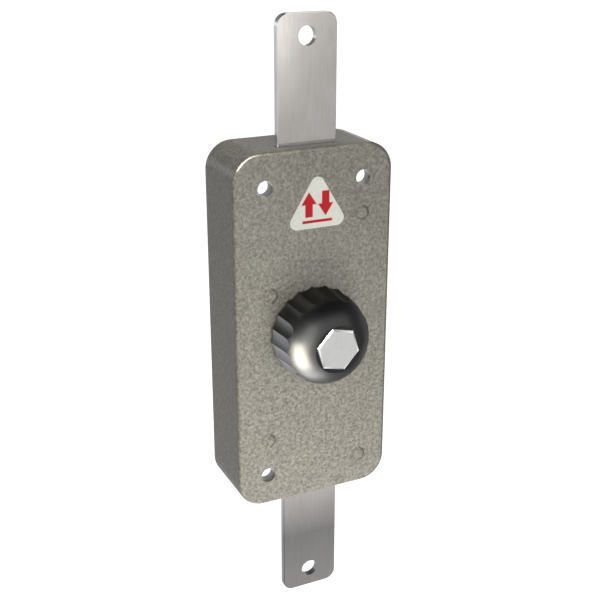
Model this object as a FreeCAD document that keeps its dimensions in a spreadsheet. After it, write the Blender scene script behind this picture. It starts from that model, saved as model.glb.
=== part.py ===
import FreeCAD, Part
import math
import os
import re
import Sketcher
from FreeCAD import Placement, Rotation, Vector

# Surface-mounted double-bar lock, worked by a knob.
# X is to the right seen from the front, Y runs back to the door and Z is up.
# The origin is on the spindle's axis, in the plane of the back, which meets the door.
# A depth is a distance from that plane towards the front, so it is minus Y.
# Lengths are in millimetres, angles in degrees.

SIZES = {
    # case: a pressed steel box, open at the back
    "case_width": 68.0,
    "case_height": 150.0,
    "case_depth": 29.0,
    "corner_radius": 11.0,
    "side_wall": 2.0,
    "front_wall": 2.0,
    "front_edge_radius": 1.5,
    # back plate, which lies inside the case's rim
    "plate_thickness": 1.5,
    "plate_clearance": 0.15,
    # three fixing holes, each with a spacer sleeve
    "fixing_hole": 6.3,
    "fixing_side": 13.0,
    "fixing_inset": 13.5,
    "sleeve_diameter": 9.0,
    # four pillars riveted into the case front
    "pillar_diameter": 6.0,
    "pillar_spigot": 4.1,
    "rivet_head": 5.2,
    "rivet_proud": 0.3,
    "rivet_edge": 0.25,
    "rivet_seat": 6.0,
    "spigot_clearance": 0.05,
    "upper_right_side": 13.5,
    "upper_right_inset": 28.0,
    "middle_left_side": 14.5,
    "middle_left_z": 18.0,
    "lower_left_side": 13.0,
    "lower_left_inset": 29.5,
    "thread_depth": 10.0,
    # machine screws
    "screw_thread": 4.0,
    "screw_clearance": 0.05,
    "back_screw_head": 6.5,
    "back_screw_length": 9.0,
    "back_screw_seat": 0.2,
    "recess_length": 3.4,
    "recess_width": 0.9,
    "recess_depth": 0.9,
    # two flat bars, face to face
    "bar_width": 25.0,
    "bar_thickness": 3.0,
    "bar_gap": 0.5,
    "bar_front_gap": 1.8,
    "bar_reach": 49.5,
    "bar_end_gap": 2.15,
    "bar_end_radius": 4.5,
    "bar_inner_radius": 1.5,
    "bar_edge": 0.3,
    "bar_slot_clearance": 0.25,
    "rod_hole": 7.5,
    "rod_hole_inset": 8.5,
    # rack and pinion
    "pinion_module": 1.0,
    "pinion_teeth": 12,
    "pressure_angle": 25.0,
    "root_factor": 1.25,
    "backlash": 0.12,
    "turn_angle": 180.0,
    "window_clearance": 0.4,
    "pinion_overlap": 0.3,
    # spindle and its bearings
    "front_journal": 10.0,
    "rear_journal": 6.8,
    "journal_clearance": 0.05,
    "shaft_end_gap": 0.2,
    "shaft_chamfer": 0.4,
    "shaft_square": 7.0,
    "square_clearance": 0.05,
    "front_bush_diameter": 14.0,
    "front_bush_flange": 17.0,
    "front_bush_flange_thickness": 1.2,
    "front_bush_lip": 0.3,
    "rear_bush_diameter": 10.0,
    "rear_bush_flange": 15.0,
    "rear_bush_flange_thickness": 1.5,
    "rear_bush_floor": 1.0,
    # detent
    "cam_diameter": 20.0,
    "cam_thickness": 4.0,
    "cam_gap": 0.7,
    "nose_radius": 1.4,
    "notch_gap": 0.2,
    "notch_centre": 10.4,
    "circlip_thickness": 1.0,
    "circlip_diameter": 11.0,
    "circlip_opening": 4.6,
    "groove_depth": 0.6,
    "groove_clearance": 0.05,
    "spring_thickness": 0.8,
    "spring_edge_gap": 0.2,
    "spring_back": 3.8,
    "spring_tail": 21.0,
    "eye_clearance": 0.1,
    "eye_wrap": 280.0,
    "bend_radius": 1.5,
    "stop_pin_diameter": 4.0,
    "stop_pin_spigot": 3.0,
    "stop_pin_rise": 3.0,
    "stop_pin_gap": 0.05,
    # moulded guides of the bars
    "guide_wall": 3.35,
    "guide_length": 13.0,
    "guide_inset": 40.5,
    "guide_clearance": 0.15,
    "guide_web": 2.5,
    "guide_core_wall": 3.0,
    "guide_core_floor": 1.5,
    "peg_diameter": 3.0,
    "peg_place": 10.0,
    "peg_clearance": 0.1,
    "peg_end_gap": 0.3,
    # knob
    "knob_diameter": 39.0,
    "knob_gap": 0.6,
    "knob_height": 20.6,
    "shoulder_diameter": 37.4,
    "shoulder_height": 8.4,
    "knob_flat": 19.7,
    "flute_count": 20,
    "flute_radius": 7.5,
    "flute_depth": 0.83,
    "flute_turn": 13.6,
    "socket_depth": 10.0,
    "knob_web": 2.5,
    "screw_recess": 11.0,
    "screw_hole": 4.4,
    "hub_diameter": 15.0,
    "core_depth": 8.0,
    "knob_wall": 3.0,
    "knob_rib": 1.6,
    "knob_rib_count": 6,
    "washer_diameter": 9.0,
    "washer_thickness": 0.8,
    "pan_head": 8.0,
    "pan_head_height": 2.6,
    "pan_head_edge": 0.8,
    "knob_screw_length": 10.0,
    "knob_screw_room": 0.5,
    # hexagonal cap in the knob's front
    "hex_flats": 16.4,
    "hex_turn": -12.7,
    "hex_clearance": 0.1,
    "hex_thickness": 3.2,
    "hex_proud": 0.25,
    "hex_chamfer": 0.6,
    # triangular sticker
    "label_x": 0.85,
    "label_half_base": 8.65,
    "label_bottom_inset": 28.5,
    "label_rise": 14.4,
    "label_corner": 3.0,
    "label_thickness": 0.15,
}

PLACES = {
    "case_arc_x": "case_width / 2 - corner_radius",
    "case_arc_z": "case_height / 2 - corner_radius",
    "inner_radius": "corner_radius - side_wall",
    "plate_radius": "corner_radius - side_wall - plate_clearance",
    "front_inner": "case_depth - front_wall",
    "fixing_x": "case_width / 2 - fixing_side",
    "fixing_z": "case_height / 2 - fixing_inset",
    "fixing_radius": "fixing_hole / 2",
    "sleeve_radius": "sleeve_diameter / 2",
    "upper_right_x": "case_width / 2 - upper_right_side",
    "upper_right_z": "case_height / 2 - upper_right_inset",
    "middle_left_x": "case_width / 2 - middle_left_side",
    "lower_left_x": "case_width / 2 - lower_left_side",
    "lower_left_z": "case_height / 2 - lower_left_inset",
    "pillar_radius": "pillar_diameter / 2",
    "spigot_radius": "pillar_spigot / 2",
    "spigot_hole": "pillar_spigot + 2 * spigot_clearance",
    "rivet_radius": "rivet_head / 2",
    "rivet_top_radius": "rivet_head / 2 - rivet_edge",
    "rivet_cone_start": "case_depth - (rivet_head - pillar_spigot) / 2",
    "rivet_top": "case_depth + rivet_proud",
    "thread_radius": "screw_thread / 2",
    "thread_bottom": "plate_thickness + thread_depth",
    "shank_radius": "screw_thread / 2 - screw_clearance",
    "back_head_radius": "back_screw_head / 2",
    "back_head_end": "(back_screw_head - screw_thread) / 2 + screw_clearance",
    "back_screw_hole": "screw_thread + 2 * screw_clearance",
    "back_screw_seat_diameter": "back_screw_head + 2 * back_screw_seat",
    "recess_half_length": "recess_length / 2",
    "recess_half_width": "recess_width / 2",
    "lower_bar_front": "case_depth - front_wall - bar_front_gap",
    "lower_bar_back": "lower_bar_front - bar_thickness",
    "upper_bar_front": "lower_bar_back - bar_gap",
    "upper_bar_back": "upper_bar_front - bar_thickness",
    "pitch_radius": "pinion_module * pinion_teeth / 2",
    "rack_pitch": "pi * pinion_module",
    "stroke": "pitch_radius * turn_angle * pi / 180",
    "bar_outer_end": "case_height / 2 + bar_reach",
    "bar_inner_end": "case_height / 2 - side_wall - stroke - bar_end_gap",
    "bar_outer_arc_x": "bar_width / 2 - bar_end_radius",
    "bar_outer_arc_z": "bar_outer_end - bar_end_radius",
    "bar_inner_arc_x": "bar_width / 2 - bar_inner_radius",
    "bar_inner_arc_z": "bar_inner_end - bar_inner_radius",
    "rod_hole_z": "bar_outer_end - rod_hole_inset",
    "slot_half_width": "bar_width / 2 + bar_slot_clearance",
    "slot_depth": "side_wall * 2",
    "slot_start": "case_height / 2 + side_wall / 2",
    "upper_slot_back": "upper_bar_back - bar_slot_clearance",
    "upper_slot_front": "upper_bar_front + bar_slot_clearance",
    "lower_slot_back": "lower_bar_back - bar_slot_clearance",
    "lower_slot_front": "lower_bar_front + bar_slot_clearance",
    "tip_radius": "pitch_radius + pinion_module",
    "window_side": "tip_radius + window_clearance",
    "window_long_end": "stroke + window_side",
    "rack_tip_x": "pitch_radius - pinion_module",
    "gap_mouth_x": "pitch_radius - 1.5 * pinion_module",
    "gap_root_x": "pitch_radius + root_factor * pinion_module",
    "gap_half": "rack_pitch / 4 + backlash / 2",
    "gap_mouth_half": "gap_half + (pitch_radius - gap_mouth_x) * tan(pressure_angle * 1 deg)",
    "gap_root_half": "gap_half - (gap_root_x - pitch_radius) * tan(pressure_angle * 1 deg)",
    "gap_mouth_top": "rack_pitch + gap_mouth_half",
    "gap_mouth_bottom": "rack_pitch - gap_mouth_half",
    "gap_root_top": "rack_pitch + gap_root_half",
    "gap_root_bottom": "rack_pitch - gap_root_half",
    "gap_count": "floor(turn_angle * pinion_teeth / 360) + 3",
    "gap_run": "(gap_count - 1) * rack_pitch",
    "left_shift": "mod(pinion_teeth; 2) * rack_pitch / 2",
    "pinion_front": "lower_bar_front + pinion_overlap",
    "pinion_back": "upper_bar_back - cam_gap",
    "pinion_length": "pinion_front - pinion_back",
    "root_radius": "pitch_radius - root_factor * pinion_module",
    "cam_back": "pinion_back - cam_thickness",
    "circlip_back": "cam_back - circlip_thickness",
    "rear_journal_radius": "rear_journal / 2",
    "groove_radius": "rear_journal / 2 - groove_depth",
    "front_journal_radius": "front_journal / 2",
    "shaft_back": "rear_bush_floor + shaft_end_gap",
    "shaft_chamfer_end": "shaft_back + shaft_chamfer",
    "rear_chamfer_radius": "rear_journal / 2 - shaft_chamfer",
    "bush_lip_front": "case_depth + front_bush_lip",
    "knob_back": "case_depth + knob_gap",
    "web_back": "knob_back + socket_depth",
    "web_front": "web_back + knob_web",
    "shaft_front": "web_back - shaft_end_gap",
    "square_half": "shaft_square / 2",
    "cam_square_run": "pinion_back - cam_back",
    "knob_square_run": "shaft_front - bush_lip_front",
    "socket_half": "shaft_square / 2 + square_clearance",
    "front_bore_radius": "front_journal / 2 + journal_clearance",
    "front_bush_radius": "front_bush_diameter / 2",
    "front_flange_radius": "front_bush_flange / 2",
    "front_flange_back": "front_inner - front_bush_flange_thickness",
    "rear_bore_radius": "rear_journal / 2 + journal_clearance",
    "rear_bush_radius": "rear_bush_diameter / 2",
    "rear_flange_radius": "rear_bush_flange / 2",
    "rear_flange_front": "plate_thickness + rear_bush_flange_thickness",
    "notch_diameter": "2 * (nose_radius + notch_gap)",
    "circlip_bore": "rear_journal - 2 * groove_depth + 2 * groove_clearance",
    "circlip_radius": "circlip_diameter / 2",
    "circlip_gap_half": "circlip_opening / 2",
    "spring_low": "cam_back + spring_edge_gap",
    "spring_high": "pinion_back - spring_edge_gap",
    "eye_radius": "pillar_diameter / 2 + eye_clearance + spring_thickness / 2",
    "leaf_x": "notch_centre + spring_back",
    "stop_pin_x": "leaf_x + (spring_thickness + stop_pin_diameter) / 2 + stop_pin_gap",
    "stop_pin_z": "spring_tail - stop_pin_rise",
    "stop_pin_radius": "stop_pin_diameter / 2",
    "stop_spigot_radius": "stop_pin_spigot / 2",
    "guide_slot_x": "bar_width / 2 + guide_clearance",
    "guide_half_width": "guide_slot_x + guide_wall",
    "guide_half_length": "guide_length / 2",
    "guide_place": "case_height / 2 - guide_inset",
    "guide_slot_front": "lower_bar_front + guide_clearance",
    "guide_slot_back": "upper_bar_back - guide_clearance",
    "guide_core_x": "guide_half_width - guide_core_wall",
    "guide_core_front": "guide_slot_back - guide_web",
    "guide_core_back": "plate_thickness + guide_core_floor",
    "peg_length": "plate_thickness - peg_end_gap",
    "peg_hole": "peg_diameter + 2 * peg_clearance",
    "knob_front": "knob_back + knob_height",
    "flute_place": "knob_diameter / 2 - flute_depth + flute_radius",
    "flute_diameter": "2 * flute_radius",
    "knob_radius": "knob_diameter / 2",
    "shoulder_radius": "shoulder_diameter / 2",
    "shoulder_depth": "knob_back + shoulder_height",
    "flat_radius": "knob_flat / 2",
    "knob_draft": "atan((knob_diameter - shoulder_diameter) / 2 / shoulder_height) / 1 deg",
    "socket_run": "web_back - knob_back",
    "recess_run": "knob_front - web_front",
    "hex_floor": "knob_front - (hex_thickness - hex_proud)",
    "hex_run": "hex_thickness - hex_proud",
    "hex_half_flats": "hex_flats / 2",
    "hex_corner": "hex_flats / sqrt(3)",
    "hex_half_corner": "hex_flats / sqrt(3) / 2",
    "seat_half_flats": "hex_flats / 2 + hex_clearance",
    "seat_corner": "(hex_flats + 2 * hex_clearance) / sqrt(3)",
    "seat_half_corner": "(hex_flats + 2 * hex_clearance) / sqrt(3) / 2",
    "core_diameter": "knob_diameter - 2 * flute_depth - 2 * knob_wall",
    "rib_inner": "hub_diameter / 2 - knob_rib / 2",
    "rib_outer": "core_diameter / 2 + knob_rib / 2",
    "rib_half": "knob_rib / 2",
    "washer_front": "web_front + washer_thickness",
    "washer_radius": "washer_diameter / 2",
    "washer_bore": "screw_hole / 2",
    "pan_head_radius": "pan_head / 2",
    "pan_head_top_radius": "pan_head / 2 - pan_head_edge",
    "pan_head_front": "washer_front + pan_head_height",
    "pan_head_shoulder": "pan_head_front - pan_head_edge",
    "knob_screw_tip": "washer_front - knob_screw_length",
    "knob_screw_run": "shaft_front - knob_screw_tip + knob_screw_room",
    "label_left": "label_half_base - label_x",
    "label_right": "label_half_base + label_x",
    "label_low": "case_height / 2 - label_bottom_inset",
    "label_high": "label_low + label_rise",
}

os.makedirs("parts", exist_ok=True)
doc = FreeCAD.newDocument("double_bar_lock")
sizes = doc.addObject("Spreadsheet::Sheet", "Sizes")
places = doc.addObject("Spreadsheet::Sheet", "Places")


def fill(sheet, entries):
    """Give each entry a row: its name, and a cell of that alias."""
    for row, name in enumerate(entries, start=1):
        sheet.set(f"A{row}", name)
        sheet.setAlias(f"B{row}", name)
    for row, entry in enumerate(entries.values(), start=1):
        sheet.set(f"B{row}", entry)


def formula(text):
    """Point each driving size in a formula at its sheet."""
    return "=" + re.sub(r"[a-z_]+", lambda word: "Sizes." * (word[0] in SIZES) + word[0], text)


fill(sizes, {name: str(number) for name, number in SIZES.items()})
fill(places, {name: formula(text) for name, text in PLACES.items()})
doc.recompute()
finished = []


def cell(name):
    """Return the expression that reads a named size or place, with its sign."""
    sign = "-" if name.startswith("-") else ""
    word = name.lstrip("-")
    return f"{sign}{'Sizes' if word in SIZES else 'Places'}.{word}"


def size(name):
    """Return the present value of a named size or place, with its sign."""
    word = name.lstrip("-")
    if word == "0":
        return 0.0
    number = float((sizes if word in SIZES else places).get(word))
    return -number if name.startswith("-") else number


def new_body(label):
    """Start a sub-part."""
    body = doc.addObject("PartDesign::Body", label)
    body.Label = label
    finished.append(body)
    return body


def new_sketch(body, plane="XZ_Plane", lift="0", shift="0", turn="0"):
    """Start a sketch on a plane of the body, lifted off it, moved up in it and turned in it."""
    sketch = body.newObject("Sketcher::SketchObject", body.Label + "_sketch")
    base = next(item for item in body.Origin.OriginFeatures if item.Role == plane)
    sketch.AttachmentSupport = [(base, "")]
    sketch.MapMode = "FlatFace"
    if lift != "0":
        sketch.setExpression("AttachmentOffset.Base.z", cell(lift))
    if shift != "0":
        sketch.setExpression("AttachmentOffset.Base.y", cell(shift))
    if turn != "0":
        sketch.setExpression("AttachmentOffset.Rotation.Angle", cell(turn))
    return sketch


def pin(sketch, curve, point, x, y):
    """Hold a point of a curve at a named place."""
    for kind, name, axis in (("DistanceX", x, -2), ("DistanceY", y, -1)):
        if name == "0":
            sketch.addConstraint(Sketcher.Constraint("PointOnObject", curve, point, axis))
        else:
            number = sketch.addConstraint(Sketcher.Constraint(kind, -1, 1, curve, point, size(name)))
            sketch.setExpression(f"Constraints[{number}]", cell(name))


def add_circle(sketch, x, y, diameter):
    """Draw a circle about a named place."""
    ring = Part.Circle(Vector(size(x), size(y), 0), Vector(0, 0, 1), size(diameter) / 2)
    curve = sketch.addGeometry(ring, False)
    pin(sketch, curve, 3, x, y)
    number = sketch.addConstraint(Sketcher.Constraint("Diameter", curve, size(diameter)))
    sketch.setExpression(f"Constraints[{number}]", cell(diameter))


def add_polygon(sketch, corners):
    """Draw a closed outline of straight lines through named places."""
    first = sketch.GeometryCount
    points = [Vector(size(x), size(y), 0) for x, y in corners]
    for number, start in enumerate(points):
        sketch.addGeometry(Part.LineSegment(start, points[(number + 1) % len(points)]), False)
    for number, (x, y) in enumerate(corners):
        following = first + (number + 1) % len(points)
        sketch.addConstraint(Sketcher.Constraint("Coincident", first + number, 2, following, 1))
        pin(sketch, first + number, 1, x, y)


def add_rectangle(sketch, left, right, low, high):
    """Draw a rectangle between named sides."""
    add_polygon(sketch, [(left, low), (right, low), (right, high), (left, high)])


def add_rounded(sketch, corners):
    """Draw an outline of arcs, anticlockwise, each about a named centre with a named radius."""
    first = sketch.GeometryCount
    centres = [Vector(size(x), size(y), 0) for x, y, _ in corners]
    radii = [size(radius) for _, _, radius in corners]
    count = len(corners)
    normals = []
    for number in range(count):
        following = (number + 1) % count
        run = centres[following] - centres[number]
        lean = math.asin((radii[number] - radii[following]) / run.Length)
        normals.append(math.atan2(run.y, run.x) - math.pi / 2 + lean)
    for number in range(count):
        following = (number + 1) % count
        circle = Part.Circle(centres[number], Vector(0, 0, 1), radii[number])
        start, end = normals[number - 1], normals[number]
        sketch.addGeometry(Part.ArcOfCircle(circle, start, start + (end - start) % (2 * math.pi)), False)
        outward = Vector(math.cos(end), math.sin(end), 0)
        line = Part.LineSegment(centres[number] + outward * radii[number],
                                centres[following] + outward * radii[following])
        sketch.addGeometry(line, False)
    for number, (x, y, radius) in enumerate(corners):
        arc = first + 2 * number
        following = first + 2 * ((number + 1) % count)
        sketch.addConstraint(Sketcher.Constraint("Tangent", arc, 2, arc + 1, 1))
        sketch.addConstraint(Sketcher.Constraint("Tangent", arc + 1, 2, following, 1))
        pin(sketch, arc, 3, x, y)
        number = sketch.addConstraint(Sketcher.Constraint("Radius", arc, size(radius)))
        sketch.setExpression(f"Constraints[{number}]", cell(radius))


def settle(body, feature, volume_before, grows):
    """Recompute, and stop if a feature has changed nothing or has gone the wrong way."""
    doc.recompute()
    change = feature.Shape.Volume - volume_before
    if feature.State != ["Up-to-date"] or (change > 0) != grows or abs(change) < 1e-6:
        raise RuntimeError(f"{feature.Name} in {body.Label}: {feature.State}, change of volume {change}")
    return feature


def volume_of(body):
    """Return the volume of what the body holds so far."""
    return body.Shape.Volume if body.Tip and not body.Shape.isNull() else 0.0


def pad(body, sketch, length, backwards=False):
    """Raise a sketch off its plane."""
    before = volume_of(body)
    feature = body.newObject("PartDesign::Pad", body.Label + "_pad")
    feature.Profile = sketch
    feature.Reversed = backwards
    feature.setExpression("Length", cell(length))
    return settle(body, feature, before, True)


def pocket(body, sketch, length="0", forwards=False, draft=None):
    """Cut a sketch into the body, behind its plane or before it, to a length or right through."""
    before = volume_of(body)
    feature = body.newObject("PartDesign::Pocket", body.Label + "_pocket")
    feature.Profile = sketch
    feature.Reversed = forwards
    if length == "0":
        feature.Type = "ThroughAll"
    else:
        feature.setExpression("Length", cell(length))
    if draft:
        feature.setExpression("TaperAngle", cell(draft))
    return settle(body, feature, before, False)


def drill(body, sketch, diameter, head_diameter, forwards=False):
    """Drill countersunk holes at a sketch's circles, right through."""
    before = volume_of(body)
    doc.recompute()
    feature = body.newObject("PartDesign::Hole", body.Label + "_hole")
    feature.Profile = sketch
    feature.Reversed = forwards
    feature.DepthType = "ThroughAll"
    feature.HoleCutType = "Countersink"
    feature.HoleCutCountersinkAngle = 90
    feature.setExpression("Diameter", cell(diameter))
    feature.setExpression("HoleCutDiameter", cell(head_diameter))
    return settle(body, feature, before, False)


def repeat_round(body, feature, sketch, count, angle=None):
    """Repeat a feature about the sketch's normal, round the full turn or to a named angle."""
    before = volume_of(body)
    pattern = body.newObject("PartDesign::PolarPattern", body.Label + "_polar")
    pattern.Originals = [feature]
    pattern.Axis = (sketch, ["N_Axis"])
    if angle:
        pattern.Occurrences = count
        pattern.setExpression("Angle", cell(angle))
    else:
        pattern.setExpression("Occurrences", cell(count))
    body.Tip = pattern
    return settle(body, pattern, before, feature.TypeId == "PartDesign::Pad")


def edge_names(shape, test):
    """Name the edges of a shape that pass a test."""
    return [f"Edge{number}" for number, edge in enumerate(shape.Edges, start=1) if test(edge)]


def on_depth(edge, depth):
    """Say whether an edge lies in the plane at a depth."""
    return all(abs(corner.Point.y + depth) < 1e-4 for corner in edge.Vertexes)


def dress(body, kind, names, value_name, value):
    """Fillet or chamfer named edges."""
    base = body.Tip
    before = volume_of(body)
    feature = body.newObject("PartDesign::" + kind, body.Label + "_" + kind.lower())
    feature.Base = (base, names)
    feature.setExpression(value_name, cell(value))
    return settle(body, feature, before, False)


def place(body, x, z):
    """Move a sub-part to its own axis."""
    if x != "0":
        body.setExpression("Placement.Base.x", cell(x))
    if z != "0":
        body.setExpression("Placement.Base.z", cell(z))


def turning(body, sketch):
    """Turn a half outline about the Y direction."""
    feature = body.newObject("PartDesign::Revolution", body.Label + "_turning")
    feature.Profile = sketch
    feature.ReferenceAxis = (sketch, ["V_Axis"])
    feature.Angle = 360
    settle(body, feature, 0.0, True)


def turned(label, stations, x="0", z="0"):
    """Turn a sub-part about the Y direction from stations of radius and depth."""
    body = new_body(label)
    sketch = new_sketch(body, "XY_Plane")
    outline = [(radius, depth if depth == "0" else "-" + depth) for radius, depth in stations]
    add_polygon(sketch, outline)
    turning(body, sketch)
    place(body, x, z)
    return body


def cross_recess(body, depth, forwards):
    """Cut a screwdriver's cross into a head whose face is at a depth."""
    long_half, short_half = "recess_half_length", "recess_half_width"
    for across, along in ((long_half, short_half), (short_half, long_half)):
        sketch = new_sketch(body, lift=depth)
        add_rectangle(sketch, "-" + across, across, "-" + along, along)
        pocket(body, sketch, "recess_depth", forwards)


PILLARS = {
    "upper_right": ("upper_right_x", "upper_right_z"),
    "middle_left": ("-middle_left_x", "middle_left_z"),
    "lower_left": ("-lower_left_x", "-lower_left_z"),
    "lower_right": ("fixing_x", "-fixing_z"),
}
FIXINGS = {
    "upper_left": ("-fixing_x", "fixing_z"),
    "upper_right": ("fixing_x", "fixing_z"),
    "lower_left": ("-fixing_x", "-fixing_z"),
}
CASE_CORNERS = [("-case_arc_x", "-case_arc_z"), ("case_arc_x", "-case_arc_z"),
                ("case_arc_x", "case_arc_z"), ("-case_arc_x", "case_arc_z")]


def make_case():
    """Press the case, open it for the bars and the spindle, and drill it."""
    body = new_body("case")
    outside = new_sketch(body)
    add_rounded(outside, [(x, z, "corner_radius") for x, z in CASE_CORNERS])
    pad(body, outside, "case_depth")
    front = edge_names(body.Shape, lambda edge: on_depth(edge, size("case_depth")))
    dress(body, "Fillet", front, "Radius", "front_edge_radius")
    inside = new_sketch(body)
    add_rounded(inside, [(x, z, "inner_radius") for x, z in CASE_CORNERS])
    pocket(body, inside, "front_inner", forwards=True)
    upper_slot = new_sketch(body, "XY_Plane", lift="slot_start")
    add_rectangle(upper_slot, "-slot_half_width", "slot_half_width", "-upper_slot_front", "-upper_slot_back")
    pocket(body, upper_slot, "slot_depth")
    lower_slot = new_sketch(body, "XY_Plane", lift="-slot_start")
    add_rectangle(lower_slot, "-slot_half_width", "slot_half_width", "-lower_slot_front", "-lower_slot_back")
    pocket(body, lower_slot, "slot_depth", forwards=True)
    holes = new_sketch(body, lift="case_depth")
    add_circle(holes, "0", "0", "front_bush_diameter")
    for x, z in FIXINGS.values():
        add_circle(holes, x, z, "fixing_hole")
    pocket(body, holes)
    rivets = new_sketch(body, lift="case_depth")
    for x, z in PILLARS.values():
        add_circle(rivets, x, z, "spigot_hole")
    drill(body, rivets, "spigot_hole", "rivet_seat")


def make_back_plate():
    """Cut the back plate and its holes."""
    body = new_body("back_plate")
    outline = new_sketch(body)
    add_rounded(outline, [(x, z, "plate_radius") for x, z in CASE_CORNERS])
    pad(body, outline, "plate_thickness")
    holes = new_sketch(body)
    add_circle(holes, "0", "0", "rear_bush_diameter")
    add_circle(holes, "-stop_pin_x", "-stop_pin_z", "stop_pin_spigot")
    for x, z in FIXINGS.values():
        add_circle(holes, x, z, "fixing_hole")
    for x in ("-peg_place", "peg_place"):
        for z in ("-guide_place", "guide_place"):
            add_circle(holes, x, z, "peg_hole")
    pocket(body, holes, forwards=True)
    screws = new_sketch(body)
    for x, z in PILLARS.values():
        add_circle(screws, x, z, "back_screw_hole")
    drill(body, screws, "back_screw_hole", "back_screw_seat_diameter", forwards=True)


def make_fixings():
    """Turn the pillars, the screws in them and the spacer sleeves."""
    for name, (x, z) in PILLARS.items():
        turned("pillar_" + name, [
            ("thread_radius", "plate_thickness"), ("pillar_radius", "plate_thickness"),
            ("pillar_radius", "front_inner"), ("spigot_radius", "front_inner"),
            ("spigot_radius", "rivet_cone_start"), ("rivet_radius", "case_depth"),
            ("rivet_top_radius", "rivet_top"), ("0", "rivet_top"),
            ("0", "thread_bottom"), ("thread_radius", "thread_bottom")], x, z)
    for name, (x, z) in PILLARS.items():
        screw = turned("back_screw_" + name, [
            ("0", "0"), ("back_head_radius", "0"), ("shank_radius", "back_head_end"),
            ("shank_radius", "back_screw_length"), ("0", "back_screw_length")], x, z)
        cross_recess(screw, "0", forwards=True)
    for name, (x, z) in FIXINGS.items():
        turned("sleeve_" + name, [
            ("fixing_radius", "plate_thickness"), ("sleeve_radius", "plate_thickness"),
            ("sleeve_radius", "front_inner"), ("fixing_radius", "front_inner")], x, z)


def make_bar(label, depth, shift):
    """Cut a bar with its rack on the right and its outer end down, at a depth."""
    body = new_body(label)
    outline = new_sketch(body, lift=depth)
    add_rounded(outline, [
        ("-bar_outer_arc_x", "-bar_outer_arc_z", "bar_end_radius"),
        ("bar_outer_arc_x", "-bar_outer_arc_z", "bar_end_radius"),
        ("bar_inner_arc_x", "bar_inner_arc_z", "bar_inner_radius"),
        ("-bar_inner_arc_x", "bar_inner_arc_z", "bar_inner_radius")])
    pad(body, outline, "bar_thickness")
    faces = (size(depth), size(depth) + size("bar_thickness"))
    rims = edge_names(body.Shape, lambda edge: any(on_depth(edge, face) for face in faces))
    dress(body, "Chamfer", rims, "Size", "bar_edge")
    window = new_sketch(body, lift=depth)
    add_rectangle(window, "-window_side", "rack_tip_x", "-window_long_end", "window_side")
    pocket(body, window, forwards=True)
    gap = new_sketch(body, lift=depth, shift=shift)
    add_polygon(gap, [("gap_mouth_x", "gap_mouth_bottom"), ("gap_root_x", "gap_root_bottom"),
                      ("gap_root_x", "gap_root_top"), ("gap_mouth_x", "gap_mouth_top")])
    first_gap = pocket(body, gap, forwards=True)
    before = volume_of(body)
    rack = body.newObject("PartDesign::LinearPattern", label + "_rack")
    rack.Originals = [first_gap]
    rack.Direction = (gap, ["V_Axis"])
    rack.Reversed = True
    rack.setExpression("Length", cell("gap_run"))
    rack.setExpression("Occurrences", cell("gap_count"))
    body.Tip = rack
    settle(body, rack, before, False)
    hole = new_sketch(body, lift=depth)
    add_circle(hole, "0", "-rod_hole_z", "rod_hole")
    pocket(body, hole, forwards=True)
    return body


def make_bars():
    """Make both bars: the upper one is the lower one turned half round, one layer further back."""
    make_bar("lower_bar", "lower_bar_back", "0")
    upper = make_bar("upper_bar", "upper_bar_back", "left_shift")
    upper.Placement = Placement(Vector(0, 0, 0), Rotation(Vector(0, 1, 0), 180))


def involute(base_radius, radius):
    """Return the angle that an involute has turned through at a radius."""
    angle = math.acos(base_radius / radius)
    return math.tan(angle) - angle


def on_circle(radius, angle, depth):
    """Return a point of the front view at a depth."""
    return Vector(radius * math.cos(angle), -depth, radius * math.sin(angle))


def pinion_outline(depth):
    """Draw the pinion: involute flanks, round tips and radial roots, with a tooth at angle 0."""
    teeth = int(size("pinion_teeth"))
    pitch_radius, tip_radius, root_radius = size("pitch_radius"), size("tip_radius"), size("root_radius")
    base_radius = pitch_radius * math.cos(math.radians(size("pressure_angle")))
    start_radius = max(base_radius, root_radius)
    steps = 5
    half_tooth = math.pi / (2 * teeth) + involute(base_radius, pitch_radius)
    rise = [start_radius + (tip_radius - start_radius) * step / steps for step in range(steps + 1)]
    turn = [half_tooth - involute(base_radius, radius) for radius in rise]
    edges = []
    for tooth in range(teeth):
        middle = 2 * math.pi * tooth / teeth
        gap_end = middle + 2 * math.pi / teeth - turn[0]
        up = [on_circle(radius, middle - angle, depth) for radius, angle in zip(rise, turn)]
        down = [on_circle(radius, middle + angle, depth) for radius, angle in zip(rise, turn)][::-1]
        for flank in (up, down):
            curve = Part.BSplineCurve()
            curve.interpolate(flank)
            edges.append(curve.toShape())
        edges.append(Part.Arc(up[-1], on_circle(tip_radius, middle, depth), down[0]).toShape())
        root_start = on_circle(root_radius, middle + turn[0], depth)
        root_middle = on_circle(root_radius, middle + math.pi / teeth, depth)
        root_end = on_circle(root_radius, gap_end, depth)
        if start_radius > root_radius:
            edges.append(Part.makeLine(down[-1], root_start))
            edges.append(Part.makeLine(root_end, on_circle(start_radius, gap_end, depth)))
        edges.append(Part.Arc(root_start, root_middle, root_end).toShape())
    return Part.Face(Part.Wire(Part.__sortEdges__(edges)))


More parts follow.
